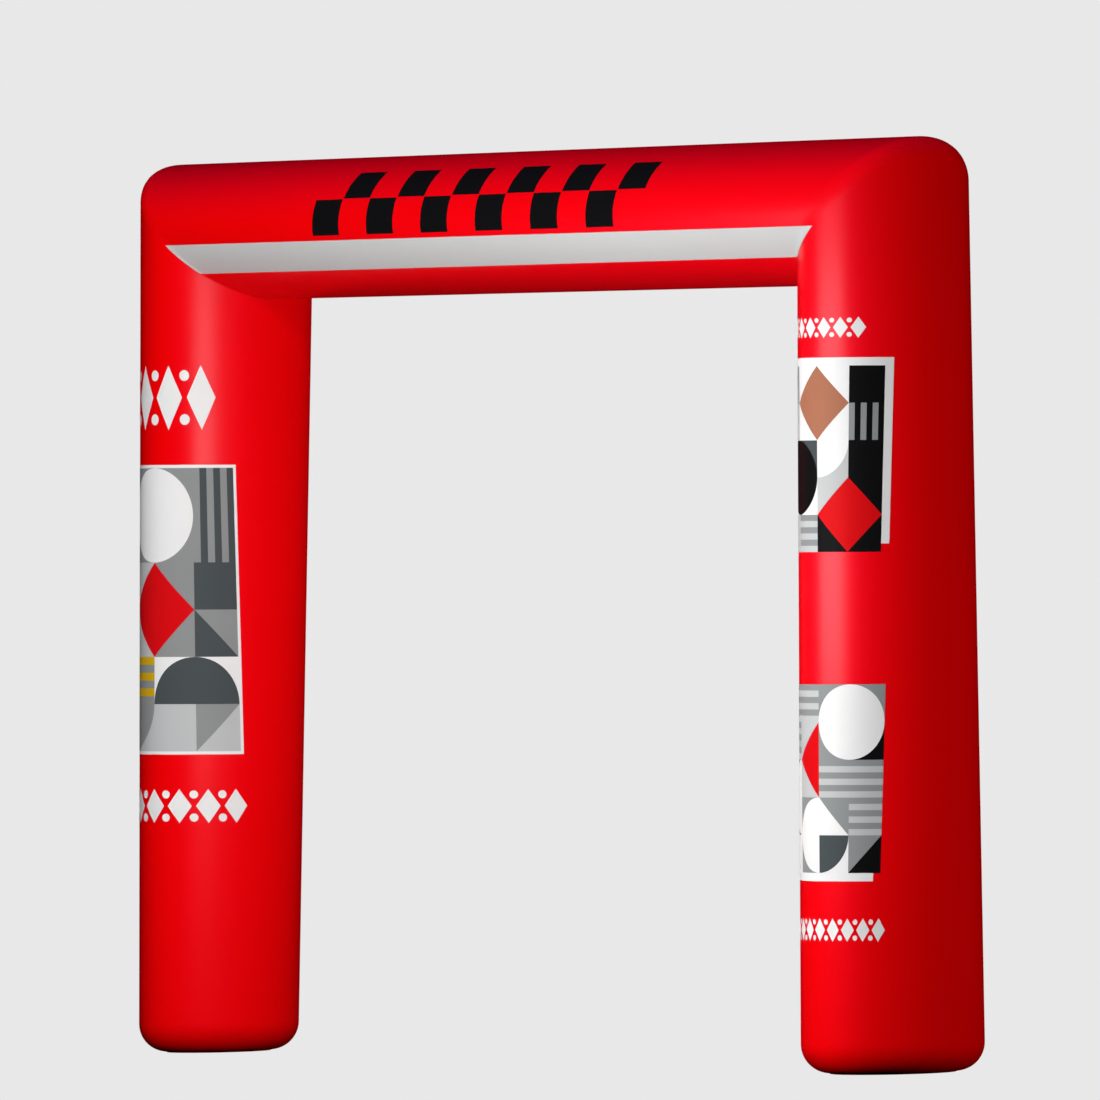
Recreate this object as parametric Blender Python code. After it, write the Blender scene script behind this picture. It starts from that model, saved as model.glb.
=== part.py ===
"""A free-standing inflatable arch for events: two upright air tubes and an air beam, mitred at the top corners.

Every tube is an oval, deeper than it is wide, and its skin runs without a break from the foot, round the corner
and along the beam. The feet are rounded at the rim and closed by a flat ground panel, and a white cloth band
runs along the lower front of the beam, from one mitre seam to the other.
Metres, +Z up. The arch spans X, its front faces -Y, and the origin lies on the ground below its middle.
"""

import math
from collections import namedtuple

import bmesh
import bpy
from mathutils import Vector

# Overall sizes
BEAM_AXIS_HEIGHT = 3.70
FOOT_RIM_RADIUS = 0.125
GROUND_PANEL_THICKNESS = 0.003
BAND_THICKNESS = 0.002
GAP = 0.0003  # between pieces that touch

# A row for each leg. x grows outwards: a leg's axis meets the ground at foot_x and the beam's axis at top_x.
# The sections are ovals, given by half their width along the arch and half their depth through it.
Leg = namedtuple("Leg", "side foot_x top_x foot_width foot_depth top_width top_depth corner_radius")
LEFT = Leg(-1, 2.060, 1.986, 0.300, 0.410, 0.310, 0.450, 0.050)
RIGHT = Leg(1, 2.060, 2.023, 0.334, 0.460, 0.315, 0.425, 0.085)
CREASE_RADIUS = 0.004  # of the inner corner, where the skin is creased

# Steps of the mesh. The section's points start at the outside of the arch and go round by the front.
SECTION_STEPS = 56
BAND_TOP_STEP = 16
BAND_BOTTOM_STEP = 20
RIM_STEPS = 7
CORNER_STEPS = 4
LEG_STEPS = 8
BEAM_STEPS = 12

RED_FABRIC = (0.80, 0.004, 0.004, 1.0)
WHITE_FABRIC = (0.78, 0.77, 0.75, 1.0)
DARK_RED_FABRIC = (0.42, 0.004, 0.004, 1.0)


def section_angles():
    """Angles round a section: 0 is the outside of the arch, a quarter turn is its front."""
    return [2 * math.pi * step / SECTION_STEPS for step in range(SECTION_STEPS)]


def foot_point(leg, angle):
    """Where a skin line, run straight down, meets the ground."""
    x = leg.foot_x + leg.foot_width * math.cos(angle)
    return Vector((leg.side * x, -leg.foot_depth * math.sin(angle), 0))


def corner_point(leg, angle):
    """Where a skin line of the leg would meet its line of the beam, if the corner were sharp."""
    rise = leg.top_width * math.cos(angle)
    return Vector((leg.side * (leg.top_x + rise), -leg.top_depth * math.sin(angle), BEAM_AXIS_HEIGHT + rise))


def wall_point(leg, angle, height):
    """A point of the leg's wall at a height above the ground."""
    foot, corner = foot_point(leg, angle), corner_point(leg, angle)
    return foot.lerp(corner, height / corner.z)


def corner_arc(leg, other, angle, turn):
    """A point of the rounded corner: turn is 0 where it leaves the leg, 0.5 on the seam and 1 where the beam starts."""
    corner = corner_point(leg, angle)
    down = (foot_point(leg, angle) - corner).normalized()
    along = (corner_point(other, angle) - corner).normalized()
    radius = CREASE_RADIUS + leg.corner_radius * (1 + math.cos(angle)) / 2
    swing = turn * math.pi / 2
    return corner + radius * ((1 - math.sin(swing)) * down + (1 - math.cos(swing)) * along)


def seam_point(leg, other, angle, towards_beam):
    """A point of the mitre seam, half a gap to the leg's or to the beam's side of the seam's plane."""
    point = corner_arc(leg, other, angle, 0.5)
    normal = Vector((-leg.side, 0, 1)).normalized()
    centre = Vector((leg.side * leg.top_x, 0, BEAM_AXIS_HEIGHT))
    offset = GAP / 2 if towards_beam else -GAP / 2
    return point + normal * (offset - normal.dot(point - centre))


def rim_point(leg, angle, turn):
    """A point of the foot's rounded rim: turn is 0 on the flat underside and 1 where the wall starts."""
    swing = turn * math.pi / 2
    height = GROUND_PANEL_THICKNESS + GAP + FOOT_RIM_RADIUS * (1 - math.cos(swing))
    outwards = Vector((leg.side * math.cos(angle) / leg.foot_width, -math.sin(angle) / leg.foot_depth, 0))
    inset = FOOT_RIM_RADIUS * (1 - math.sin(swing))
    return wall_point(leg, angle, height) - outwards.normalized() * inset


def leg_rings(leg, other):
    """The leg's sections from its underside up to the mitre seam."""
    angles = section_angles()
    rings = [[rim_point(leg, a, step / RIM_STEPS) for a in angles] for step in range(RIM_STEPS + 1)]
    wall_start = rings[-1]
    wall_end = [corner_arc(leg, other, a, 0) for a in angles]
    for step in range(1, LEG_STEPS + 1):
        rings.append([low.lerp(high, step / LEG_STEPS) for low, high in zip(wall_start, wall_end)])
    for step in range(1, CORNER_STEPS):
        rings.append([corner_arc(leg, other, a, step / CORNER_STEPS / 2) for a in angles])
    rings.append([seam_point(leg, other, a, towards_beam=False) for a in angles])
    return rings


def beam_rings():
    """The beam's sections from the left mitre seam to the right one."""
    angles = section_angles()

    def half(leg, other):
        ring_list = [[seam_point(leg, other, a, towards_beam=True) for a in angles]]
        for step in range(1, CORNER_STEPS + 1):
            turn = 0.5 + step / CORNER_STEPS / 2
            ring_list.append([corner_arc(leg, other, a, turn) for a in angles])
        return ring_list

    left, right = half(LEFT, RIGHT), half(RIGHT, LEFT)
    middle = []
    for step in range(1, BEAM_STEPS):
        middle.append([a.lerp(b, step / BEAM_STEPS) for a, b in zip(left[-1], right[-1])])
    return left + middle + right[::-1]


def beam_section_normal(point, angle):
    """The direction out of the beam's skin, across the beam."""
    share = (point.x + LEFT.top_x) / (LEFT.top_x + RIGHT.top_x)
    half_height = LEFT.top_width + (RIGHT.top_width - LEFT.top_width) * share
    half_depth = LEFT.top_depth + (RIGHT.top_depth - LEFT.top_depth) * share
    return Vector((0, -math.sin(angle) / half_depth, math.cos(angle) / half_height)).normalized()


def band_grid(lift):
    """The band's points at a height above the beam's skin: a row for each section of the beam."""
    angles = section_angles()[BAND_TOP_STEP : BAND_BOTTOM_STEP + 1]
    rows = [ring[BAND_TOP_STEP : BAND_BOTTOM_STEP + 1] for ring in beam_rings()]
    return [[p + beam_section_normal(p, a) * lift for p, a in zip(row, angles)] for row in rows]


def ground_panel_rings(leg):
    """The flat oval that closes the foot, on the ground and below the rim's inner edge."""
    edge = [rim_point(leg, a, 0) for a in section_angles()]
    return [[Vector((p.x, p.y, z)) for p in edge] for z in (0, GROUND_PANEL_THICKNESS)]


def loft(bm, rings):
    """A closed solid through rings of points, with a flat face at each end."""
    loops = [[bm.verts.new(p) for p in ring] for ring in rings]
    for low, high in zip(loops, loops[1:]):
        for i in range(len(low)):
            j = (i + 1) % len(low)
            bm.faces.new((low[i], low[j], high[j], high[i]))
    bm.faces.new(loops[0][::-1])
    bm.faces.new(loops[-1])


def strip(bm, outer_rows, inner_rows):
    """A closed thin sheet between two grids of points. Both grids are split along the same diagonals."""
    outer = [[bm.verts.new(p) for p in row] for row in outer_rows]
    inner = [[bm.verts.new(p) for p in row] for row in inner_rows]
    columns = len(outer[0])
    for row in range(len(outer) - 1):
        for i in range(columns - 1):
            j, up = i + 1, row + 1
            bm.faces.new((outer[row][i], outer[row][j], outer[up][j], outer[up][i]))
            bm.faces.new((inner[row][i], inner[up][i], inner[up][j], inner[row][j]))
        for edge in (0, columns - 1):
            bm.faces.new((outer[row][edge], outer[row + 1][edge], inner[row + 1][edge], inner[row][edge]))
    for end in (0, len(outer) - 1):
        for i in range(columns - 1):
            bm.faces.new((outer[end][i], inner[end][i], inner[end][i + 1], outer[end][i + 1]))


def coated_fabric(name, colour, roughness):
    """A smooth coated cloth, as air tubes are made of."""
    material = bpy.data.materials.new(name)
    material.use_nodes = True
    shader = material.node_tree.nodes["Principled BSDF"]
    shader.inputs["Base Color"].default_value = colour
    shader.inputs["Roughness"].default_value = roughness
    shader.inputs["Metallic"].default_value = 0.0
    material.diffuse_color = colour
    return material


def piece(name, build, origin, material, root):
    """A named solid whose mesh is made by build(bm) in world space, with its own origin."""
    bm = bmesh.new()
    build(bm)
    bmesh.ops.translate(bm, verts=bm.verts, vec=-origin)
    bmesh.ops.recalc_face_normals(bm, faces=bm.faces)
    mesh = bpy.data.meshes.new(name)
    bm.to_mesh(mesh)
    bm.free()
    mesh.shade_smooth()
    mesh.set_sharp_from_angle(angle=math.radians(40))
    mesh.materials.append(material)
    obj = bpy.data.objects.new(name, mesh)
    bpy.context.scene.collection.objects.link(obj)
    obj.location = origin
    obj.parent = root
    return obj


def clear_scene():
    for obj in list(bpy.data.objects):
        bpy.data.objects.remove(obj, do_unlink=True)


def build_arch():
    clear_scene()
    root = bpy.data.objects.new("arch", None)
    bpy.context.scene.collection.objects.link(root)

    for name, leg, other in (("left", LEFT, RIGHT), ("right", RIGHT, LEFT)):
        foot = Vector((leg.side * leg.foot_x, 0, 0))
        skin = coated_fabric(f"leg_{name}_fabric", RED_FABRIC, 0.42)
        sole = coated_fabric(f"ground_panel_{name}_fabric", DARK_RED_FABRIC, 0.6)
        rings, panel_rings = leg_rings(leg, other), ground_panel_rings(leg)
        piece(f"leg_{name}", lambda bm: loft(bm, rings), foot, skin, root)
        piece(f"ground_panel_{name}", lambda bm: loft(bm, panel_rings), foot, sole, root)

    beam_middle = Vector((0, 0, BEAM_AXIS_HEIGHT))
    piece("beam", lambda bm: loft(bm, beam_rings()), beam_middle, coated_fabric("beam_fabric", RED_FABRIC, 0.42), root)

    def make_band(bm):
        strip(bm, band_grid(GAP + BAND_THICKNESS), band_grid(GAP))

    piece("front_band", make_band, beam_middle, coated_fabric("front_band_fabric", WHITE_FABRIC, 0.5), root)

    # The right leg is stouter than the left one, so the whole arch moves a little to centre it on the origin.
    wall_start = GROUND_PANEL_THICKNESS + GAP + FOOT_RIM_RADIUS
    root.location.x = -(wall_point(LEFT, 0, wall_start).x + wall_point(RIGHT, 0, wall_start).x) / 2


build_arch()
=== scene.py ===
"""The looks of the inflatable arch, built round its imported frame.

The air tubes' skins repeat the forms of the part's source with finer steps. The cloth band, the
stitches and the printed places lie on them, and the printed places hold plain geometric shapes.
Metres, +Z up. The arch spans X and its front faces -Y.
"""

import math
from collections import namedtuple
from itertools import accumulate

import bmesh
import bpy
from mathutils import Matrix, Vector


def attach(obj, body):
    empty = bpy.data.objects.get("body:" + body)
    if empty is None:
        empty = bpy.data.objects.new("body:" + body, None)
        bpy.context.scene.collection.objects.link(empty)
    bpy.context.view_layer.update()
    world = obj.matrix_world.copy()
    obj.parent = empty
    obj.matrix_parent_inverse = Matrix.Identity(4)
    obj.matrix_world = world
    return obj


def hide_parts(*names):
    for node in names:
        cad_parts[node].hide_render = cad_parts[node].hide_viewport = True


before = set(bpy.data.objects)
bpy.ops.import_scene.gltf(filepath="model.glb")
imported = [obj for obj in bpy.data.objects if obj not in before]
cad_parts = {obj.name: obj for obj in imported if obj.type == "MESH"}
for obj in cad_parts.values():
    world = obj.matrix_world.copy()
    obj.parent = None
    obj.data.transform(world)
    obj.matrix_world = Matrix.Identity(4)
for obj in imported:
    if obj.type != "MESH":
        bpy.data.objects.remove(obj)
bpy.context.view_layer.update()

# ---------------------------------------------------------------- sizes, as in the part's source

BEAM_AXIS_HEIGHT = 3.70
FOOT_RIM_RADIUS = 0.125
GROUND_PANEL_THICKNESS = 0.003
BAND_THICKNESS = 0.002
GAP = 0.0003  # between pieces that touch

# A row for each leg. x grows outwards: a leg's axis meets the ground at foot_x and the beam's axis
# at top_x. The sections are ovals, given by half their width along the arch and half their depth.
Leg = namedtuple("Leg", "side foot_x top_x foot_width foot_depth top_width top_depth corner_radius")
LEFT = Leg(-1, 2.060, 1.986, 0.300, 0.410, 0.310, 0.450, 0.050)
RIGHT = Leg(1, 2.060, 2.023, 0.334, 0.460, 0.315, 0.425, 0.085)
LEGS = {"left": (LEFT, RIGHT), "right": (RIGHT, LEFT)}  # each leg and the one across from it
CREASE_RADIUS = 0.004  # of the inner corner, where the skin is creased

# ---------------------------------------------------------------- steps of the skins' meshes

SECTION_STEPS = 168
RIM_STEPS = 14
LEG_STEPS = 36
CORNER_STEPS = 16
BEAM_STEPS = 48
SUPPORT = 0.012  # a narrow row of faces beside each rounding keeps the long walls evenly shaded


def section_angles():
    """Angles round a section: 0 is the outside of the arch, a quarter turn is its front."""
    return [2 * math.pi * step / SECTION_STEPS for step in range(SECTION_STEPS)]


def foot_point(leg, angle):
    """Where a skin line, run straight down, meets the ground."""
    x = leg.foot_x + leg.foot_width * math.cos(angle)
    return Vector((leg.side * x, -leg.foot_depth * math.sin(angle), 0))


def corner_point(leg, angle):
    """Where a skin line of the leg would meet its line of the beam, if the corner were sharp."""
    rise = leg.top_width * math.cos(angle)
    x = leg.side * (leg.top_x + rise)
    return Vector((x, -leg.top_depth * math.sin(angle), BEAM_AXIS_HEIGHT + rise))


def wall_point(leg, angle, height):
    """A point of the leg's wall at a height above the ground."""
    foot, corner = foot_point(leg, angle), corner_point(leg, angle)
    return foot.lerp(corner, height / corner.z)


def bend_radius(leg, angle):
    """The radius of the corner on a skin line: from the crease inside to the rounding outside."""
    return CREASE_RADIUS + leg.corner_radius * (1 + math.cos(angle)) / 2


def corner_arc(leg, other, angle, turn):
    """A point of the rounded corner: turn is 0 on the leg, 0.5 on the seam and 1 on the beam."""
    corner = corner_point(leg, angle)
    down = (foot_point(leg, angle) - corner).normalized()
    along = (corner_point(other, angle) - corner).normalized()
    swing = turn * math.pi / 2
    inset = (1 - math.sin(swing)) * down + (1 - math.cos(swing)) * along
    return corner + bend_radius(leg, angle) * inset


def seam_point(leg, other, angle, offset):
    """A point of the mitre seam, at an offset from its plane: above 0 is towards the beam."""
    point = corner_arc(leg, other, angle, 0.5)
    normal = Vector((-leg.side, 0, 1)).normalized()
    centre = Vector((leg.side * leg.top_x, 0, BEAM_AXIS_HEIGHT))
    return point + normal * (offset - normal.dot(point - centre))


def oval_normal(side, width, depth, angle):
    """The level direction out of a leg's oval."""
    return Vector((side * math.cos(angle) / width, -math.sin(angle) / depth, 0)).normalized()


def rim_point(leg, angle, turn):
    """A point of the foot's rounded rim: turn is 0 on the underside and 1 where the wall starts."""
    swing = turn * math.pi / 2
    height = GROUND_PANEL_THICKNESS + GAP + FOOT_RIM_RADIUS * (1 - math.cos(swing))
    outwards = oval_normal(leg.side, leg.foot_width, leg.foot_depth, angle)
    return wall_point(leg, angle, height) - outwards * (FOOT_RIM_RADIUS * (1 - math.sin(swing)))


def leg_normal(leg, angle):
    """The direction out of the leg's wall near its top, taken level."""
    return oval_normal(leg.side, leg.top_width, leg.top_depth, angle)


def beam_normal(leg, angle):
    """The direction out of the beam's skin, across the beam, near a leg."""
    y, z = -math.sin(angle) / leg.top_depth, math.cos(angle) / leg.top_width
    return Vector((0, y, z)).normalized()


WALL_START = GROUND_PANEL_THICKNESS + GAP + FOOT_RIM_RADIUS
OUTER_SIDES = [wall_point(leg, 0, WALL_START).x for leg in (LEFT, RIGHT)]
ARCH_SHIFT = Vector((-sum(OUTER_SIDES) / 2, 0, 0))  # centres the whole arch on the origin


def toward(start, end, length):
    """A point at a length from start on the way to end."""
    return start + (end - start).normalized() * length


def wall_rings(first, last, steps):
    """Sections of a straight stretch of tube, with a supporting section beside each end."""
    low = [toward(p, q, SUPPORT) for p, q in zip(first, last)]
    high = [toward(q, p, SUPPORT) for p, q in zip(first, last)]
    return [[p.lerp(q, step / steps) for p, q in zip(low, high)] for step in range(steps + 1)]


def leg_rings(leg, other):
    """The leg's sections from its underside up to the mitre seam."""
    angles = section_angles()
    rim = [[rim_point(leg, a, step / RIM_STEPS) for a in angles] for step in range(RIM_STEPS + 1)]
    corner = []
    for step in range(CORNER_STEPS):
        corner.append([corner_arc(leg, other, a, step / CORNER_STEPS / 2) for a in angles])
    seam = [seam_point(leg, other, a, -GAP / 2) for a in angles]
    return rim + wall_rings(rim[-1], corner[0], LEG_STEPS) + corner + [seam]


def beam_rings():
    """The beam's sections from the left mitre seam to the right one."""
    angles = section_angles()

    def end_rings(leg, other):
        rings = [[seam_point(leg, other, a, GAP / 2) for a in angles]]
        for step in range(1, CORNER_STEPS + 1):
            turn = 0.5 + step / CORNER_STEPS / 2
            rings.append([corner_arc(leg, other, a, turn) for a in angles])
        return rings

    left, right = end_rings(LEFT, RIGHT), end_rings(RIGHT, LEFT)
    return left + wall_rings(left[-1], right[-1], BEAM_STEPS) + right[::-1]


# ---------------------------------------------------------------- meshes


def new_object(name, bm, materials):
    """A piece of the scene from a bmesh, in the row frame, riding on the root body."""
    bmesh.ops.translate(bm, verts=bm.verts, vec=ARCH_SHIFT)
    mesh = bpy.data.meshes.new(name)
    bm.to_mesh(mesh)
    bm.free()
    mesh.shade_smooth()
    for material in materials:
        mesh.materials.append(material)
    obj = bpy.data.objects.new(name, mesh)
    bpy.context.scene.collection.objects.link(obj)
    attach(obj, "root")
    return obj


def join_rings(bm, loops):
    """Joins rings of vertices. Returns the side faces, a row for each two rings, and both ends."""
    count = len(loops[0])
    rows = []
    for low, high in zip(loops, loops[1:]):
        row = []
        for i in range(count):
            j = (i + 1) % count
            row.append(bm.faces.new((low[i], low[j], high[j], high[i])))
        rows.append(row)
    return rows, (bm.faces.new(loops[0][::-1]), bm.faces.new(loops[-1]))


def loft(name, rings, material):
    """A closed solid through rings of points, with sharp edges round both ends.

    The attribute cloth holds each corner's place on the cloth in metres: x runs round the section,
    y along the tube, and z is the distance from the nearer end of the skin.
    """
    bm = bmesh.new()
    cloth = bm.loops.layers.float_vector.new("cloth")
    rows, ends = join_rings(bm, [[bm.verts.new(p) for p in ring] for ring in rings])
    middle = rings[len(rings) // 2]
    sides = [(q - p).length for p, q in zip(middle, middle[1:] + middle[:1])]
    around = list(accumulate(sides, initial=0.0))
    along = [[0.0] * len(around)]
    for low, high in zip(rings, rings[1:]):
        steps = [(q - p).length for p, q in zip(low, high)]
        along.append([a + s for a, s in zip(along[-1], steps + steps[:1])])
    for k, row in enumerate(rows):
        for i, face in enumerate(row):
            places = ((k, i), (k, i + 1), (k + 1, i + 1), (k + 1, i))
            for corner, (ring, column) in zip(face.loops, places):
                y = along[ring][column]
                corner[cloth] = Vector((around[column], y, min(y, along[-1][column] - y)))
    bmesh.ops.recalc_face_normals(bm, faces=bm.faces)
    for face in ends:
        for edge in face.edges:
            edge.smooth = False
    return new_object(name, bm, [material])


# ---------------------------------------------------------------- cloth

THREAD_PITCH = 0.0011
WEAVE_DEPTH = 0.0002
WEAVE_STRENGTH = 0.06
CLOUD_SCALE = 1.7  # of the faint cloudiness, for each metre
CLOUD_SHARE = 0.75  # of the change in colour. The rest is fine grain.
CLOUD_RANGE = (0.3, 0.7)  # of the noise, which the roughness follows
GRAIN_SCALE = 420.0
ROUGHNESS_SPREAD = 0.02  # to either side
SWELL_SCALE = 2.3
SWELL_DEPTH = 0.01
SWELL_STRENGTH = 0.05
MIX_FIRST, MIX_SECOND, MIX_RESULT = 6, 7, 2  # places of a Mix node's colour sockets

Coat = namedtuple("Coat", "weight roughness ior")
NO_COAT = Coat(0.0, 0.4, 1.5)
NO_TINT = (1, 1, 1, 1)


def nodes_of(material):
    """The nodes, the links and the shader of a new material."""
    material.use_nodes = True
    tree = material.node_tree
    return tree.nodes, tree.links, tree.nodes["Principled BSDF"]


def add_node(nodes, kind, **values):
    """A node whose sockets or settings have the given values."""
    node = nodes.new(kind)
    for key, value in values.items():
        if key in node.inputs:
            node.inputs[key].default_value = value
        else:
            setattr(node, key, value)
    return node


def math_node(nodes, links, operation, *values):
    """The result of one operation on numbers or sockets."""
    node = nodes.new("ShaderNodeMath")
    node.operation = operation
    for socket, value in zip(node.inputs, values):
        if isinstance(value, (int, float)):
            socket.default_value = value
        else:
            links.new(value, socket)
    return node.outputs[0]


def map_range(nodes, links, value, source, target):
    """A socket's value, mapped from one range to another."""
    node = add_node(nodes, "ShaderNodeMapRange")
    node.inputs["From Min"].default_value, node.inputs["From Max"].default_value = source
    node.inputs["To Min"].default_value, node.inputs["To Max"].default_value = target
    links.new(value, node.inputs["Value"])
    return node.outputs["Result"]


def mix_colours(nodes, links, share, first, second, shader):
    """Sets the shader's colour to a mix of two, by a socket's share of the second."""
    mix = add_node(nodes, "ShaderNodeMix", data_type="RGBA")
    mix.inputs[MIX_FIRST].default_value = first
    mix.inputs[MIX_SECOND].default_value = second
    links.new(share, mix.inputs["Factor"])
    links.new(mix.outputs[MIX_RESULT], shader.inputs["Base Color"])


def bump(nodes, links, height, strength, distance):
    """A bump by a socket's height."""
    node = add_node(nodes, "ShaderNodeBump", Strength=strength, Distance=distance)
    links.new(height, node.inputs["Height"])
    return node


def coated_cloth(name, light, dark, roughness, specular, tint=NO_TINT, coat=NO_COAT):
    """Smooth coated cloth: a fine weave, cloudy colour and gloss, a soft swell and a clear coat."""
    material = bpy.data.materials.new(name)
    nodes, links, shader = nodes_of(material)
    shader.inputs["Metallic"].default_value = 0.0
    shader.inputs["Specular IOR Level"].default_value = specular
    shader.inputs["Specular Tint"].default_value = tint
    shader.inputs["Coat Weight"].default_value = coat.weight
    shader.inputs["Coat Roughness"].default_value = coat.roughness
    shader.inputs["Coat IOR"].default_value = coat.ior

    place = add_node(nodes, "ShaderNodeAttribute", attribute_name="cloth")
    split = add_node(nodes, "ShaderNodeSeparateXYZ")
    links.new(place.outputs["Vector"], split.inputs[0])
    threads = []
    for axis in ("X", "Y"):
        turns = math_node(nodes, links, "MULTIPLY", split.outputs[axis], math.tau / THREAD_PITCH)
        threads.append(math_node(nodes, links, "SINE", turns))
    woven = math_node(nodes, links, "MULTIPLY", *threads)

    position = add_node(nodes, "ShaderNodeNewGeometry").outputs["Position"]
    noises = []
    for settings in (
        {"Scale": CLOUD_SCALE, "Detail": 3.0, "Roughness": 0.5},
        {"Scale": GRAIN_SCALE, "Detail": 1.0},
        {"Scale": SWELL_SCALE, "Detail": 1.0},
    ):
        noise = add_node(nodes, "ShaderNodeTexNoise", **settings)
        links.new(position, noise.inputs["Vector"])
        noises.append(noise.outputs["Fac"])
    clouds, grain, swells = noises

    cloud_part = math_node(nodes, links, "MULTIPLY", clouds, CLOUD_SHARE)
    grain_part = math_node(nodes, links, "MULTIPLY", grain, 1 - CLOUD_SHARE)
    shade = math_node(nodes, links, "ADD", cloud_part, grain_part)
    mix_colours(nodes, links, shade, dark, light, shader)
    gloss = (roughness - ROUGHNESS_SPREAD, roughness + ROUGHNESS_SPREAD)
    links.new(map_range(nodes, links, clouds, CLOUD_RANGE, gloss), shader.inputs["Roughness"])

    soft = bump(nodes, links, swells, SWELL_STRENGTH, SWELL_DEPTH)
    fine = bump(nodes, links, woven, WEAVE_STRENGTH, WEAVE_DEPTH)
    links.new(soft.outputs["Normal"], fine.inputs["Normal"])
    for socket in ("Normal", "Coat Normal"):
        links.new(fine.outputs["Normal"], shader.inputs[socket])
    material.diffuse_color = light
    return material


def sewing_thread():
    """Red twisted thread of about the cloth's colour, with fine slanting plies. Its colour carries
    painted shade in the grooves between the plies and painted light on their crowns.
    """
    material = bpy.data.materials.new("red_thread")
    nodes, links, shader = nodes_of(material)
    shader.inputs["Metallic"].default_value = 0.0
    shader.inputs["Roughness"].default_value = 0.62
    shader.inputs["Specular IOR Level"].default_value = 0.2
    plies = add_node(nodes, "ShaderNodeTexWave", Scale=900.0, Distortion=1.5)
    plies.bands_direction = "DIAGONAL"
    position = add_node(nodes, "ShaderNodeNewGeometry").outputs["Position"]
    links.new(position, plies.inputs["Vector"])
    # the colour follows the plies' height: painted shade in the grooves, painted light on the
    # crowns
    groove_shade, crown_light = (0.68, 0.002, 0.003, 1), (0.88, 0.005, 0.006, 1)
    mix_colours(nodes, links, plies.outputs["Fac"], groove_shade, crown_light, shader)
    twist = bump(nodes, links, plies.outputs["Fac"], strength=0.4, distance=0.0003)
    links.new(twist.outputs["Normal"], shader.inputs["Normal"])
    return material


RED = coated_cloth(
    "red_coated_cloth",
    light=(0.830, 0.0004, 0.0005, 1),
    dark=(0.770, 0.0003, 0.0004, 1),
    roughness=0.64,
    specular=0.68,
    tint=(1, 0, 1, 1),
    coat=Coat(1.0, 0.344, 1.72),
)
SOLE = coated_cloth(
    "sole_coated_cloth",
    light=(0.44, 0.005, 0.005, 1),
    dark=(0.38, 0.003, 0.003, 1),
    roughness=0.62,
    specular=0.20,
)
BAND = coated_cloth(
    "pale_band_cloth",
    light=(0.50, 0.50, 0.497, 1),
    dark=(0.47, 0.47, 0.467, 1),
    roughness=0.5,
    specular=0.2,
)

# ---------------------------------------------------------------- air tubes and ground panels

for name, (leg, other) in LEGS.items():
    skin = loft(f"leg_{name}_skin", leg_rings(leg, other), RED)
    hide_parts(f"leg_{name}")
beam_skin = loft("beam_skin", beam_rings(), RED)
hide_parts("beam")


def ground_panel(name, leg):
    """The flat oval of heavy cloth that closes a foot."""
    edge = [rim_point(leg, a, 0) for a in section_angles()]
    heights = (0, GROUND_PANEL_THICKNESS / 2, GROUND_PANEL_THICKNESS)
    rings = [[Vector((p.x, p.y, z)) for p in edge] for z in heights]
    panel = loft(f"ground_panel_{name}_cloth", rings, SOLE)
    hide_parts(f"ground_panel_{name}")


for name, (leg, _) in LEGS.items():
    ground_panel(name, leg)

# ---------------------------------------------------------------- the cloth band

# The band's edges are level. Their heights are given as angles round the beam's mean section.
BAND_TOP_ANGLE = math.radians(103.0)
BAND_BOTTOM_ANGLE = math.radians(129.2)
BAND_LIFT = GAP + BAND_THICKNESS  # of its outer face above the skin
BAND_ROWS = 10
BAND_END_STEPS = 10
BAND_LEFT_TURN = 0.25  # the left end lies just on the leg's side of its seam
BAND_RIGHT_REACH = 0.02  # radians round the right leg, from the mitre crease to the band's end
BAND_SLOPE = 1.4  # length of the band's cloth for each metre of height
SHARP_EDGE = math.radians(50)
SEARCH_MARGIN = 0.02  # radians, from the ends of the front half
SEARCH_HALVINGS = 44


def solve_angle(height_at, height):
    """The angle on the front half of a section at which height_at gives the wanted height.

    Heights fall as the angle grows.
    """
    low, high = SEARCH_MARGIN, math.pi - SEARCH_MARGIN
    for _ in range(SEARCH_HALVINGS):
        middle = (low + high) / 2
        if height_at(middle) > height:
            low = middle
        else:
            high = middle
    return (low + high) / 2


def band_corner(leg, other, height, first_turn):
    """Points and normals of the band's line round a mitre corner, from a turn to the beam."""
    points = []
    for step in range(BAND_END_STEPS + 1):
        turn = first_turn + (1 - first_turn) * step / BAND_END_STEPS
        angle = solve_angle(lambda a: corner_arc(leg, other, a, turn).z, height)
        swing = turn * math.pi / 2
        out_of_leg, out_of_beam = leg_normal(leg, angle), beam_normal(leg, angle)
        normal = out_of_leg * math.cos(swing) + out_of_beam * math.sin(swing)
        points.append((corner_arc(leg, other, angle, turn), normal.normalized()))
    return points


def band_reach(leg, other, height):
    """Points and normals of the band's line on a leg's wall, from its end to the mitre corner."""
    crease = solve_angle(lambda a: corner_arc(leg, other, a, 0).z, height)
    points = []
    for step in range(BAND_END_STEPS):
        angle = crease - BAND_RIGHT_REACH * (1 - step / BAND_END_STEPS)
        points.append((wall_point(leg, angle, height), leg_normal(leg, angle)))
    return points


def band_middle(height):
    """Points and normals of the band's line on the straight beam, from left to right."""
    points = []
    for step in range(1, BEAM_STEPS):
        share = step / BEAM_STEPS

        def on_beam(angle):
            start, end = corner_arc(LEFT, RIGHT, angle, 1), corner_arc(RIGHT, LEFT, angle, 1)
            return start.lerp(end, share)

        angle = solve_angle(lambda a: on_beam(a).z, height)
        normal = beam_normal(LEFT, angle).lerp(beam_normal(RIGHT, angle), share)
        points.append((on_beam(angle), normal.normalized()))
    return points


def band_line(height):
    """The band's line at a height: from the left seam, along the beam, to past the right seam."""
    left = band_corner(LEFT, RIGHT, height, BAND_LEFT_TURN)
    right = band_reach(RIGHT, LEFT, height) + band_corner(RIGHT, LEFT, height, 0)
    return left + band_middle(height) + right[::-1]


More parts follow.
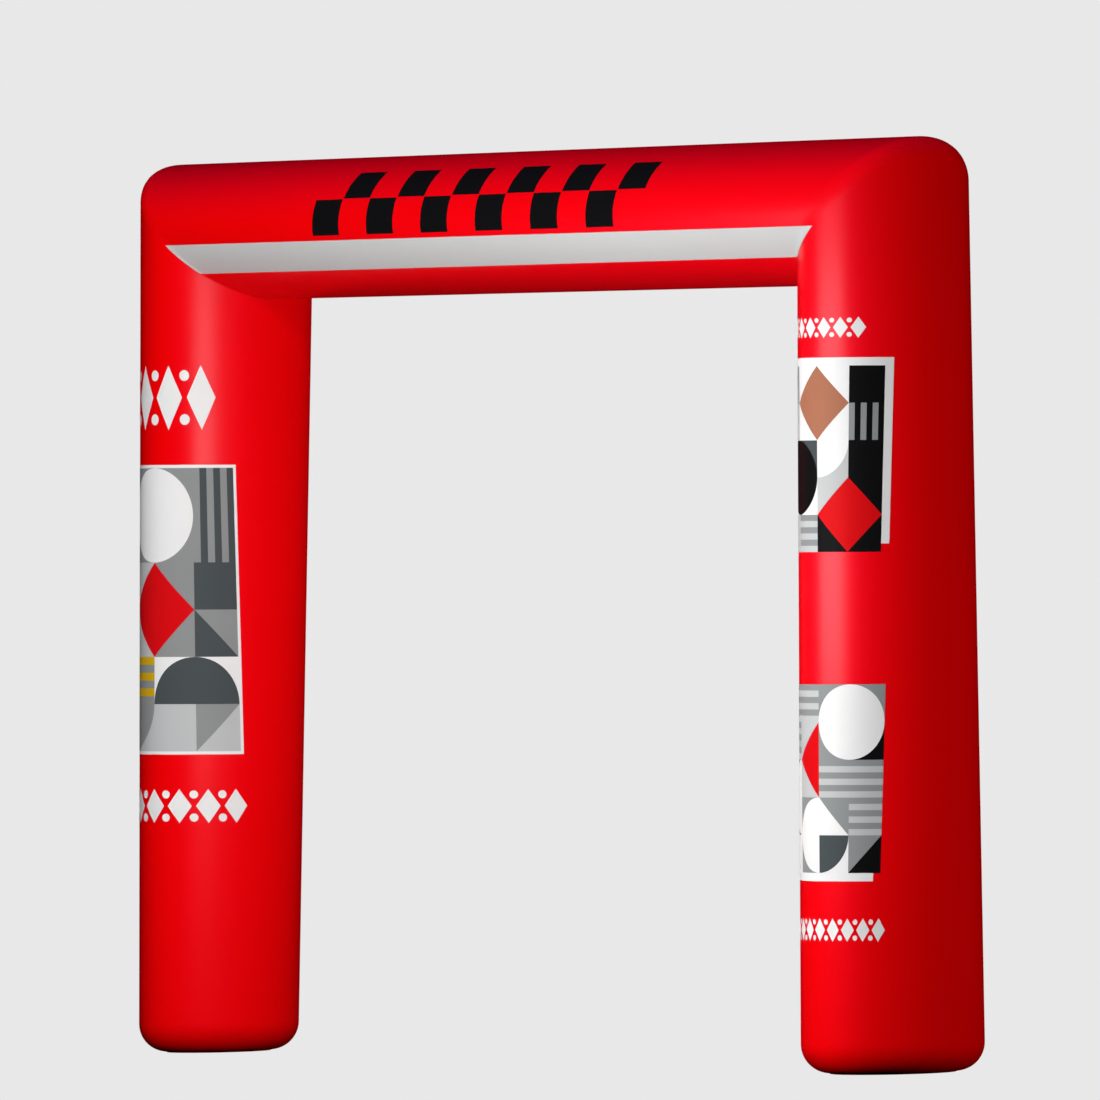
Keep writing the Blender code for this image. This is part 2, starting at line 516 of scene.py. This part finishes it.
def front_band():
    """The white band on the lower front of the beam: a sheet with an outer and an inner face."""
    mean_half_height = (LEFT.top_width + RIGHT.top_width) / 2
    top = BEAM_AXIS_HEIGHT + mean_half_height * math.cos(BAND_TOP_ANGLE)
    bottom = BEAM_AXIS_HEIGHT + mean_half_height * math.cos(BAND_BOTTOM_ANGLE)
    shares = [row / BAND_ROWS for row in range(BAND_ROWS + 1)]
    lines = [band_line(top + (bottom - top) * share) for share in shares]
    bm = bmesh.new()
    cloth = bm.loops.layers.float_vector.new("cloth")
    outer, inner = (
        [[bm.verts.new(p + n * lift) for p, n in line] for line in lines]
        for lift in (BAND_LIFT, BAND_LIFT - BAND_THICKNESS)
    )

    def face(*corners):
        made = bm.faces.new(corners)
        for loop in made.loops:
            loop[cloth] = Vector((loop.vert.co.x, loop.vert.co.z * BAND_SLOPE, 0))
        return made

    area = 0.0
    last_row, last_column = len(outer) - 1, len(outer[0]) - 1
    for k in range(last_row):
        for i in range(last_column):
            shown = face(outer[k][i], outer[k + 1][i], outer[k + 1][i + 1], outer[k][i + 1])
            area += shown.calc_area()
            face(inner[k][i], inner[k][i + 1], inner[k + 1][i + 1], inner[k + 1][i])
        for i in (0, last_column):
            face(outer[k][i], outer[k + 1][i], inner[k + 1][i], inner[k][i])
    for k in (0, last_row):
        for i in range(last_column):
            face(outer[k][i], outer[k][i + 1], inner[k][i + 1], inner[k][i])
    bmesh.ops.recalc_face_normals(bm, faces=bm.faces)
    for edge in bm.edges:
        if edge.calc_face_angle(0) > SHARP_EDGE:
            edge.smooth = False

    band = new_object("front_band_cloth", bm, [BAND])
    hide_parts("front_band")


front_band()

# ---------------------------------------------------------------- stitches beside the mitre seams

STITCH_PITCH = 0.0075
STITCH_LENGTH = 0.0056
STITCH_THICKNESS = 0.0012
STITCH_OFFSET = 0.008  # from the seam to each row
STITCH_LIFT = 0.0002
STITCH_SIDES = 5
SEAM_STEPS = 720
SKIN_STEP = 0.004  # along the skin, to find its slope beside a stitch
BAND_MARGIN = 0.05  # radians to either side of the band, which are left free of stitches

# A row for each ring of a stitch, with its place and thickness as shares of the stitch's.
StitchRing = namedtuple("StitchRing", "place thickness")
STITCH_RINGS = (
    StitchRing(-0.5, 0.35),
    StitchRing(-0.25, 0.9),
    StitchRing(0.25, 0.9),
    StitchRing(0.5, 0.35),
)


def skin_line(leg, other, angle, distance):
    """A point of the skin at a distance from the mitre seam: above 0 is along the beam."""
    half_arc = bend_radius(leg, angle) * math.pi / 4
    if abs(distance) <= half_arc:
        return corner_arc(leg, other, angle, 0.5 + distance / half_arc / 2)
    if distance < 0:
        start, end = corner_arc(leg, other, angle, 0), foot_point(leg, angle)
    else:
        start, end = corner_arc(leg, other, angle, 1), corner_point(other, angle)
    return toward(start, end, abs(distance) - half_arc)


def add_stitch(bm, centre, run, out):
    """One stitch, which lies along run and is thinner at both ends."""
    across = out.cross(run)
    turns = [2 * math.pi * i / STITCH_SIDES for i in range(STITCH_SIDES)]
    rings = []
    for ring in STITCH_RINGS:
        middle = centre + run * (ring.place * STITCH_LENGTH)
        radius = ring.thickness * STITCH_THICKNESS / 2
        spokes = [across * math.cos(t) + out * math.sin(t) for t in turns]
        rings.append([bm.verts.new(middle + spoke * radius) for spoke in spokes])
    join_rings(bm, rings)


def stitch_rows(name, leg, other):
    """Both rows of stitches beside a mitre seam. They stop where the cloth band covers them."""
    bm = bmesh.new()
    angles = [2 * math.pi * k / SEAM_STEPS for k in range(SEAM_STEPS + 1)]
    beam_end = Vector((leg.side * leg.top_x, 0, BEAM_AXIS_HEIGHT))
    for side in (-1, 1):
        line = [skin_line(leg, other, a, side * STITCH_OFFSET) for a in angles]
        further = [skin_line(leg, other, a, side * (STITCH_OFFSET + SKIN_STEP)) for a in angles]
        walked, next_stitch = 0.0, STITCH_PITCH
        for k in range(SEAM_STEPS):
            walked += (line[k + 1] - line[k]).length
            if walked < next_stitch:
                continue
            next_stitch += STITCH_PITCH
            if BAND_TOP_ANGLE - BAND_MARGIN < angles[k] < BAND_BOTTOM_ANGLE + BAND_MARGIN:
                continue
            run = (line[k + 1] - line[k]).normalized()
            out = run.cross(further[k] - line[k]).normalized()
            if out.dot(line[k] - beam_end) < 0:
                out = -out
            add_stitch(bm, line[k] + out * STITCH_LIFT, run, out)
    bmesh.ops.recalc_face_normals(bm, faces=bm.faces)
    new_object(name, bm, [THREAD])


THREAD = sewing_thread()
for name, (leg, other) in LEGS.items():
    stitch_rows(f"seam_stitches_{name}", leg, other)

# ---------------------------------------------------------------- printing on the skins

PRINT_LIFT = 0.0007
SPLIT = 0.022  # longest step of a print round the tube
LEG_SPLIT = 0.25  # longest step of a print up a leg
MERGE_DISTANCE = 1e-5
CUT_TOLERANCE = 1e-6
ARC_TABLE_STEPS = 240
STRETCH_HEIGHT = 2  # where a leg's pattern has its true width

INK_SHADE = 0.93  # of an ink's darker places
INK_ROUGHNESS = 0.45
INK_SPECULAR = 0.1
Ink = namedtuple("Ink", "name colour")
INKS = {
    "w": Ink("ink_white", (0.69, 0.69, 0.685)),
    "p": Ink("ink_pale_grey", (0.42, 0.43, 0.43)),
    "g": Ink("ink_grey", (0.22, 0.23, 0.23)),
    "s": Ink("ink_slate", (0.055, 0.065, 0.068)),
    "k": Ink("ink_black", (0.0045, 0.0045, 0.005)),
    "r": Ink("ink_red", (0.55, 0.004, 0.006)),
    "y": Ink("ink_yellow", (0.52, 0.32, 0.006)),
    "b": Ink("ink_brown", (0.33, 0.13, 0.075)),
}
ink_materials = {}


def ink(key):
    """The material of one printing ink."""
    if key not in ink_materials:
        name, colour = INKS[key]
        dark = [INK_SHADE * c for c in colour]
        material = coated_cloth(name, (*colour, 1), (*dark, 1), INK_ROUGHNESS, INK_SPECULAR)
        ink_materials[key] = material
    return ink_materials[key]


def arc_table(point):
    """Running lengths of a section's curve from its front line, for angles up to a half turn."""
    points = [point(math.pi * k / ARC_TABLE_STEPS) for k in range(ARC_TABLE_STEPS + 1)]
    lengths = list(accumulate(((q - p).length for p, q in zip(points, points[1:])), initial=0.0))
    front = lengths[ARC_TABLE_STEPS // 2]
    return [length - front for length in lengths]


def angle_at(table, length):
    """The angle whose point lies at a length along the curve from the front line."""
    k = 0
    while length > table[k + 1] and k < ARC_TABLE_STEPS - 1:
        k += 1
    share = (length - table[k]) / (table[k + 1] - table[k])
    return math.pi * (k + share) / ARC_TABLE_STEPS


def leg_place(leg, stretch):
    """A map from a place on a leg's cloth to a point and a normal.

    u runs along +X from the leg's front line and v upwards from the ground. stretch is how much
    wider the pattern is for each metre above STRETCH_HEIGHT, and narrower for each one below.
    """
    foot_table = arc_table(lambda a: foot_point(leg, a))
    top_table = arc_table(lambda a: wall_point(leg, a, BEAM_AXIS_HEIGHT))

    def place(u, v):
        length = -leg.side * u * (1 + stretch * (v - STRETCH_HEIGHT))
        low, high = angle_at(foot_table, length), angle_at(top_table, length)
        angle = low + (high - low) * v / BEAM_AXIS_HEIGHT
        width = leg.foot_width + (leg.top_width - leg.foot_width) * v / BEAM_AXIS_HEIGHT
        depth = leg.foot_depth + (leg.top_depth - leg.foot_depth) * v / BEAM_AXIS_HEIGHT
        return wall_point(leg, angle, v), oval_normal(leg.side, width, depth, angle)

    return place


def beam_place():
    """A map from a place on the beam's cloth to a point and a normal.

    x is the place along the beam, and v runs upwards from the beam's front line.
    """

    def section_table(leg):
        depth, width = leg.top_depth, leg.top_width
        return arc_table(lambda a: Vector((0, -depth * math.sin(a), width * math.cos(a))))

    left_table, right_table = section_table(LEFT), section_table(RIGHT)

    def place(x, v):
        low, high = angle_at(left_table, -v), angle_at(right_table, -v)
        share = (x + LEFT.top_x) / (LEFT.top_x + RIGHT.top_x)
        angle = low + (high - low) * share
        start, end = corner_point(LEFT, angle), corner_point(RIGHT, angle)
        normal = beam_normal(LEFT, angle).lerp(beam_normal(RIGHT, angle), share)
        return start.lerp(end, (x - start.x) / (end.x - start.x)), normal.normalized()

    return place


def print_on(name, shapes, carrier, slot):
    """A printed place: thin flat colour that follows the skin of its carrier."""
    keys = sorted({key for _, key in shapes})
    bm = bmesh.new()
    for polygon, key in shapes:
        face = bm.faces.new([bm.verts.new((u, v, 0)) for u, v in polygon])
        face.material_index = keys.index(key)
    bmesh.ops.remove_doubles(bm, verts=bm.verts, dist=MERGE_DISTANCE)
    us = [vert.co.x for vert in bm.verts]
    vs = [vert.co.y for vert in bm.verts]
    area = sum(face.calc_area() for face in bm.faces)
    cuts = ((Vector((1, 0, 0)), us, SPLIT), (Vector((0, 1, 0)), vs, carrier.step_up))
    for axis, values, step in cuts:
        for k in range(math.ceil(min(values) / step), math.floor(max(values) / step) + 1):
            bmesh.ops.bisect_plane(
                bm,
                geom=bm.verts[:] + bm.edges[:] + bm.faces[:],
                dist=CUT_TOLERANCE,
                plane_co=axis * (k * step),
                plane_no=axis,
            )
    cloth = bm.loops.layers.float_vector.new("cloth")
    for face in bm.faces:
        for loop in face.loops:
            loop[cloth] = loop.vert.co
    for vert in bm.verts:
        point, normal = carrier.place(vert.co.x, vert.co.y)
        vert.co = point + normal * PRINT_LIFT
    obj = new_object(name, bm, [ink(key) for key in keys])
    flat = (max(us) - min(us), max(vs) - min(vs))
    area = min(area, flat[0] * flat[1])


# A row for each skin that carries prints. step_up is the longest step of a print along v.
Carrier = namedtuple("Carrier", "skin place step_up")
ON_LEFT = Carrier("leg_left_skin", leg_place(LEFT, stretch=-0.085), LEG_SPLIT)
ON_RIGHT = Carrier("leg_right_skin", leg_place(RIGHT, stretch=0.11), LEG_SPLIT)
ON_BEAM = Carrier("beam_skin", beam_place(), SPLIT)

# ---------------------------------------------------------------- shapes of the prints

# Shapes are (polygon, ink) pairs.
STRIPES = 6
ARC_STEPS = 14
DISC_STEPS = 20
LOZENGE_WIDTH = 0.86  # of the pitch of a row of ornaments
DISC_OF_PITCH, DISC_OF_HEIGHT = 0.3, 0.26  # a disc's diameter is the smaller of these shares
DISC_INSET = 0.16  # of the row's height, from its edges to the discs' middles

Box = namedtuple("Box", "left bottom right top")  # metres on the cloth, as u and v


def rectangle(left, bottom, right, top):
    return [(left, bottom), (right, bottom), (right, top), (left, top)]


def tile(code, u0, v0, width, height):
    """The shapes of one tile. A code is a kind, a corner and two inks.

    P is plain, V and H are stripes, T is a triangle in a corner and Q a quarter of a disc in a
    corner. Corner 0 is the lower left one, and the others follow anticlockwise. P, V and H have
    corner 0, and P has no second ink.
    """
    kind, turn, first, second = code[0], int(code[1]), code[2], code[3]
    corners = rectangle(u0, v0, u0 + width, v0 + height)
    if kind == "P":
        return [(corners, first)]
    if kind in "VH":
        shapes = []
        for k in range(STRIPES):
            a, b = k / STRIPES, (k + 1) / STRIPES
            if kind == "V":
                stripe = rectangle(u0 + a * width, v0, u0 + b * width, v0 + height)
            else:
                stripe = rectangle(u0, v0 + a * height, u0 + width, v0 + b * height)
            shapes.append((stripe, first if k % 2 else second))
        return shapes
    centre, next_one, opposite, previous = (corners[(turn + k) % 4] for k in range(4))
    if kind == "T":
        return [([centre, next_one, previous], first), ([next_one, opposite, previous], second)]

    arc = []
    for step in range(ARC_STEPS + 1):
        swing = step / ARC_STEPS * math.pi / 2
        cos, sin = math.cos(swing), math.sin(swing)
        along = zip(centre, next_one, previous)
        arc.append(tuple(c + (n - c) * cos + (p - c) * sin for c, n, p in along))
    inside = [([centre, p, q], first) for p, q in zip(arc, arc[1:])]
    return inside + [([opposite, q, p], second) for p, q in zip(arc, arc[1:])]


def tiles(rows, box):
    """The shapes of a panel of tiles. The first row is the top one."""
    shapes = []
    height = (box.top - box.bottom) / len(rows)
    for k, row in enumerate(rows):
        codes = row.split()
        width = (box.right - box.left) / len(codes)
        for i, code in enumerate(codes):
            shapes += tile(code, box.left + i * width, box.top - (k + 1) * height, width, height)
    return shapes


def framed(rows, box, border):
    """A panel of tiles inside a white border."""
    inner = Box(box.left + border, box.bottom + border, box.right - border, box.top - border)
    edges = (
        rectangle(box.left, box.bottom, box.right, inner.bottom),
        rectangle(box.left, inner.top, box.right, box.top),
        rectangle(box.left, inner.bottom, inner.left, inner.top),
        rectangle(inner.right, inner.bottom, box.right, inner.top),
    )
    return tiles(rows, inner) + [(edge, "w") for edge in edges]


def lozenge(u, v, width, height):
    left, right = u - width / 2, u + width / 2
    return [(left, v), (u, v - height / 2), (right, v), (u, v + height / 2)]


def disc(u, v, diameter):
    angles = [2 * math.pi * k / DISC_STEPS for k in range(DISC_STEPS)]
    radius = diameter / 2
    return [(u + radius * math.cos(a), v + radius * math.sin(a)) for a in angles]


def ornament_row(box, count):
    """A row of tall white lozenges, with a disc above and below between each two."""
    pitch, height = (box.right - box.left) / count, box.top - box.bottom
    diameter = min(DISC_OF_PITCH * pitch, DISC_OF_HEIGHT * height)
    polygons = []
    for k in range(count):
        u = box.left + (k + 0.5) * pitch
        polygons.append(lozenge(u, (box.bottom + box.top) / 2, LOZENGE_WIDTH * pitch, height))
        if k:
            for v in (box.bottom + DISC_INSET * height, box.top - DISC_INSET * height):
                polygons.append(disc(box.left + k * pitch, v, diameter))
    return [(polygon, "w") for polygon in polygons]


# ---------------------------------------------------------------- the printed places

TILES_LEFT = (
    "V0gp Q1wg Q0wg V0sg",
    "V0gp Q2wg Q3wg V0sg",
    "Q1kp T1rp T0rg P0s-",
    "Q2kp T2rp T3rg T0sg",
    "P0g- H0yg Q1sw Q0sw",
    "P0p- Q3gp P0p- T1pg",
)
TILES_RIGHT_UPPER = (
    "V0gp T1bw T0bw P0k-",
    "P0p- T2bw T3bw V0kg",
    "Q1ks Q0ks Q3wp P0k-",
    "Q2kw Q3kw T1rp T0rk",
    "P0p- H0gp T2rk T3rk",
)
TILES_RIGHT_LOWER = (
    "H0gp H0gp Q1wg Q0wg",
    "H0gp T1rp Q2wg Q3wk",
    "Q1wk T2rp H0gp H0gp",
    "Q2wk Q1wg T0wg H0gp",
    "P0w- Q2wg Q3sw T1kg",
)
PANEL_LEFT = Box(-0.4085, 1.345, 0.4085, 2.645)
PANEL_RIGHT_UPPER = Box(-0.279, 2.235, 0.279, 3.03)  # of the tiles, without the white edges
PANEL_RIGHT_LOWER = Box(-0.315, 0.865, 0.315, 1.67)
PANEL_BORDER = 0.014
WHITE_EDGE = 0.035  # of the white sheet that shows past two sides of a right panel

EMBLEM_COLUMNS = 12
EMBLEM_LENGTH = 2.0
EMBLEM_BOTTOM = -0.05  # from the beam's front line
EMBLEM_SQUARE = 0.1675
EMBLEM_GAP = 0.002  # round each square


def right_upper_panel():
    """A panel of tiles whose white sheet shows past its right and its top."""
    left, bottom, right, top = PANEL_RIGHT_UPPER
    edges = (
        rectangle(left + WHITE_EDGE, top, right, top + WHITE_EDGE),
        rectangle(right, bottom + WHITE_EDGE, right + WHITE_EDGE, top + WHITE_EDGE),
    )
    return tiles(TILES_RIGHT_UPPER, PANEL_RIGHT_UPPER) + [(edge, "w") for edge in edges]


def right_lower_panel():
    """A panel of tiles whose white sheet shows past its left and its bottom."""
    left, bottom, right, top = PANEL_RIGHT_LOWER
    edges = (
        rectangle(left - WHITE_EDGE, bottom - WHITE_EDGE, right - WHITE_EDGE, bottom),
        rectangle(left - WHITE_EDGE, bottom, left, top - WHITE_EDGE),
    )
    return tiles(TILES_RIGHT_LOWER, PANEL_RIGHT_LOWER) + [(edge, "w") for edge in edges]


def beam_emblem():
    """A chequered field of black squares in two rows."""
    pitch = EMBLEM_LENGTH / EMBLEM_COLUMNS
    shapes = []
    for k in range(EMBLEM_COLUMNS):
        u = -EMBLEM_LENGTH / 2 + k * pitch
        v = EMBLEM_BOTTOM + k % 2 * EMBLEM_SQUARE
        low_corner = (u + EMBLEM_GAP, v + EMBLEM_GAP)
        high_corner = (u + pitch - EMBLEM_GAP, v + EMBLEM_SQUARE - EMBLEM_GAP)
        shapes.append((rectangle(*low_corner, *high_corner), "k"))
    return shapes


# A row for each print.
Print = namedtuple("Print", "name shapes carrier slot")
PRINTS = (
    Print(
        "ornament_left_upper",
        ornament_row(Box(-0.328, 2.802, 0.328, 3.092), count=4),
        ON_LEFT,
        "print_white",
    ),
    Print(
        "ornament_left_lower",
        ornament_row(Box(-0.426, 1.037, 0.426, 1.190), count=7),
        ON_LEFT,
        "print_white",
    ),
    Print("panel_left", framed(TILES_LEFT, PANEL_LEFT, PANEL_BORDER), ON_LEFT, "print_picture"),
    Print("panel_right_upper", right_upper_panel(), ON_RIGHT, "print_picture"),
    Print("panel_right_lower", right_lower_panel(), ON_RIGHT, "print_picture"),
    Print(
        "ornament_right_upper",
        ornament_row(Box(-0.207, 3.148, 0.207, 3.238), count=6),
        ON_RIGHT,
        "print_white",
    ),
    Print(
        "ornament_right_lower",
        ornament_row(Box(-0.352, 0.572, 0.352, 0.672), count=9),
        ON_RIGHT,
        "print_white",
    ),
    Print("ornament_beam", beam_emblem(), ON_BEAM, "print_dark"),
)
for row in PRINTS:
    print_on(*row)

# ---------------------------------------------------------------- camera

SENSOR = 36.0
FRAME_PIXELS = 1100
FOCAL_PIXELS = 12643.1
CAMERA_AZIMUTH, CAMERA_DISTANCE, CAMERA_HEIGHT = 0.76594827, 55.712334, 2.1160603
CAMERA_YAW, CAMERA_PITCH, CAMERA_ROLL = 0.76556323, 0.0024562, -0.0045931
NEAR_CLIP, FAR_CLIP = 1.0, 400.0


def make_camera():
    """The camera: a long lens, far off to the right of the arch's front."""
    data = bpy.data.cameras.new("camera")
    camera = bpy.data.objects.new("camera", data)
    bpy.context.scene.collection.objects.link(camera)
    data.sensor_width = SENSOR
    data.lens = FOCAL_PIXELS * SENSOR / FRAME_PIXELS
    data.clip_start, data.clip_end = NEAR_CLIP, FAR_CLIP
    sin_yaw, cos_yaw, cos_pitch = math.sin(CAMERA_YAW), math.cos(CAMERA_YAW), math.cos(CAMERA_PITCH)
    forward = Vector((-sin_yaw * cos_pitch, cos_yaw * cos_pitch, math.sin(CAMERA_PITCH)))
    level = Vector((cos_yaw, sin_yaw, 0))
    up = level.cross(forward)
    right = level * math.cos(CAMERA_ROLL) + up * math.sin(CAMERA_ROLL)
    up = up * math.cos(CAMERA_ROLL) - level * math.sin(CAMERA_ROLL)
    place = Vector((math.sin(CAMERA_AZIMUTH), -math.cos(CAMERA_AZIMUTH), 0)) * CAMERA_DISTANCE
    place += Vector((0, 0, CAMERA_HEIGHT)) + ARCH_SHIFT
    matrix = Matrix((right, up, -forward)).transposed().to_4x4()
    matrix.translation = place
    camera.matrix_world = matrix
    bpy.context.scene.camera = camera


make_camera()

# ---------------------------------------------------------------- stage and lights

BACKDROP = (0.807, 0.807, 0.807, 1)  # what the camera sees round the object
SKY_COLOUR = (0.55, 0.0, 1.0, 1)
SKY_STRENGTH = 0.042  # faint light from high above, which tints what faces up
SKY_RISE = (0.25, 0.9)  # upward share of a direction, where the sky starts and where it is full
FLOOR_RADIUS = 30
FLOOR_STEPS = 96
FLOOR_DROP = 0.002  # below the ground panels
FLOOR_HIDDEN_FROM = ("visible_diffuse", "visible_glossy", "visible_transmission", "visible_shadow")


def make_world():
    """A plain pale ground for the camera, and a faint sky for everything else."""
    world = bpy.data.worlds.new("studio")
    bpy.context.scene.world = world
    world.use_nodes = True
    nodes, links = world.node_tree.nodes, world.node_tree.links
    seen = nodes["Background"]
    seen.inputs["Color"].default_value = BACKDROP
    sky = add_node(nodes, "ShaderNodeBackground", Color=SKY_COLOUR)
    split = add_node(nodes, "ShaderNodeSeparateXYZ")
    links.new(add_node(nodes, "ShaderNodeTexCoord").outputs["Generated"], split.inputs[0])
    above = map_range(nodes, links, split.outputs["Z"], SKY_RISE, (0, SKY_STRENGTH))
    links.new(above, sky.inputs["Strength"])
    path = add_node(nodes, "ShaderNodeLightPath")
    mix = add_node(nodes, "ShaderNodeMixShader")
    links.new(path.outputs["Is Camera Ray"], mix.inputs[0])
    links.new(sky.outputs[0], mix.inputs[1])
    links.new(seen.outputs[0], mix.inputs[2])
    links.new(mix.outputs[0], nodes["World Output"].inputs["Surface"])


def make_floor():
    """A pale floor that only the camera sees."""
    bm = bmesh.new()
    bmesh.ops.create_circle(bm, cap_ends=True, segments=FLOOR_STEPS, radius=FLOOR_RADIUS)
    bmesh.ops.translate(bm, verts=bm.verts, vec=(0, 0, -FLOOR_DROP))
    mesh = bpy.data.meshes.new("floor")
    bm.to_mesh(mesh)
    bm.free()
    floor = bpy.data.objects.new("floor", mesh)
    bpy.context.scene.collection.objects.link(floor)
    material = bpy.data.materials.new("floor")
    nodes, links, shader = nodes_of(material)
    nodes.remove(shader)
    glow = add_node(nodes, "ShaderNodeEmission", Color=BACKDROP, Strength=1.0)
    links.new(glow.outputs[0], nodes["Material Output"].inputs["Surface"])
    mesh.materials.append(material)
    for flag in FLOOR_HIDDEN_FROM:
        setattr(floor, flag, False)


bpy.context.scene.view_settings.view_transform = "Standard"
bpy.context.scene.view_settings.look = "None"
make_world()
make_floor()

# A row for each soft lamp, with its power in watts. Only the key lamp shows in the cloth's gloss.
Lamp = namedtuple("Lamp", "name place target width height power in_reflections")
LAMPS = (
    Lamp("key", (1.442, -2.394, 2.572), (1.147, -1.439, 2.572), 2.30, 1.95, 25.3, True),
    Lamp("front", (2.0, -4.6, 1.4), (2.0, 0, 1.4), 2.2, 1.8, 147, False),
    Lamp("left", (-3.6, -4.6, 1.8), (-2.0, 0, 1.8), 1.5, 3.0, 46, False),
    Lamp("beam_left", (-1.5, -5.0, 3.9), (-1.5, 0, 3.7), 2.0, 1.2, 49, False),
    Lamp("top", (0, -4, 9), (0, -4, 0), 4.0, 4.0, 240, False),
    Lamp("doorway", (0, -2.5, 1.0), (0, 0, 1.0), 2.0, 1.4, 20, False),
    Lamp("back", (0, 2.5, 2.5), (0, 0, 2.5), 3.0, 2.0, 34, False),
    Lamp("back_left", (-8.0, 7.0, 3.5), (0, 0, 2.0), 4.0, 3.0, 350, False),
    Lamp("right", (8.0, 6.0, 1.2), (0, 6.0, 1.2), 4.0, 2.5, 430, False),
    Lamp("camera_side", (12.0, -12.0, 9.0), (0, 0, 9.0), 5.0, 3.0, 1030, False),
)


def area_light(lamp):
    """A rectangular soft lamp that the camera doesn't see."""
    data = bpy.data.lights.new(lamp.name, "AREA")
    data.shape = "RECTANGLE"
    data.size, data.size_y = lamp.width, lamp.height
    data.energy = lamp.power
    data.cycles.use_multiple_importance_sampling = lamp.in_reflections
    light = bpy.data.objects.new(lamp.name, data)
    bpy.context.scene.collection.objects.link(light)
    light.location = lamp.place
    direction = Vector(lamp.target) - Vector(lamp.place)
    light.rotation_euler = direction.to_track_quat("-Z", "Y").to_euler()
    light.visible_camera = False
    light.visible_glossy = lamp.in_reflections


for lamp in LAMPS:
    area_light(lamp)
